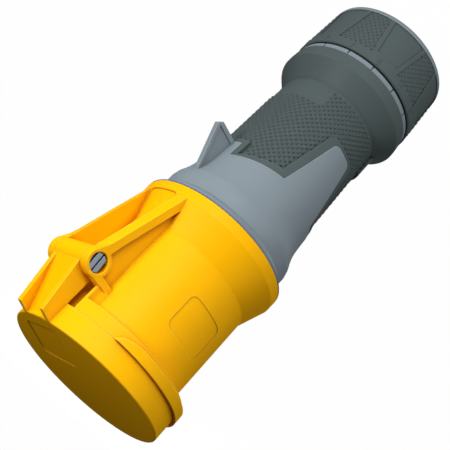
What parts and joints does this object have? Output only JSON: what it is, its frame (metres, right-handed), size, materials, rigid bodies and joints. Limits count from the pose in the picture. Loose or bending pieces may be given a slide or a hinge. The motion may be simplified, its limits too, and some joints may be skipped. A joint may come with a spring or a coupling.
{
  "type": "industrial cable connector",
  "caption": "Hand-held round industrial connector with a sprung hinged lid, soft dark grip and a screwed cable gland.",
  "frame": {"origin": "on the axis at the end plane of the gland nut, where the cable comes in", "axes": "+Z along the axis from the gland nut to the lid, +Y towards the lid's hinge, +X by the right-hand rule"},
  "size_m": [0.1014, 0.1129, 0.2774],
  "materials": {
    "yellow_shell": "smooth moulded",
    "grey_shell": "fine moulded grain",
    "grip_rubber": "soft satin",
    "black_rubber": "smooth",
    "grey_rubber": "smooth",
    "carrier_plastic": "fine moulded grain",
    "contact_brass": "machined",
    "spring_steel": "drawn wire",
    "zinc_steel": "zinc plated"
  },
  "bodies": {
    "housing": {"head_housing": "yellow_shell", "hinge_pin": "zinc_steel", "lid_spring": "spring_steel", "contact_insert": "carrier_plastic", "insert_back": "carrier_plastic", "contact_line": "contact_brass", "contact_neutral": "contact_brass", "contact_earth": "contact_brass", "sleeve_spring_line": "spring_steel", "sleeve_spring_neutral": "spring_steel", "sleeve_spring_earth": "spring_steel", "terminal_screws": "zinc_steel", "carrier_screws": "zinc_steel", "flange_seal": "grey_rubber", "grip_housing": "grey_shell", "grip_cover": "grip_rubber", "gland_seal": "black_rubber", "clamp_cage": "carrier_plastic"},
    "lid": {"lid": "yellow_shell", "lid_seal": "black_rubber"},
    "gland_ring": {"pressure_ring": "grey_shell"},
    "nut": {"gland_nut": "grey_shell", "nut_cover": "grip_rubber"}
  },
  "joints": [
    {"name": "lid_hinge", "type": "hinge", "parent": "housing", "child": "lid", "pos_m": [0, 0.0546, 0.2411], "axis": [-1, 0, 0], "range_deg": [0, 110], "stiffness_Nm_per_rad": 0.2, "springref_deg": -85.94, "deforming": ["lid_spring"]},
    {"name": "gland_ring_slide", "type": "slide", "parent": "housing", "child": "gland_ring", "axis": [0, 0, -1], "range_m": [0, 0.00801]},
    {"name": "gland_nut_turn", "type": "hinge", "parent": "gland_ring", "child": "nut", "pos_m": [0, 0, 0], "axis": [0, 0, -1], "range_deg": [0, 720]}
  ],
  "couplings": [
    {"joint": "gland_ring_slide", "follows": "gland_nut_turn", "m_per_rad": 0.00063662}
  ]
}
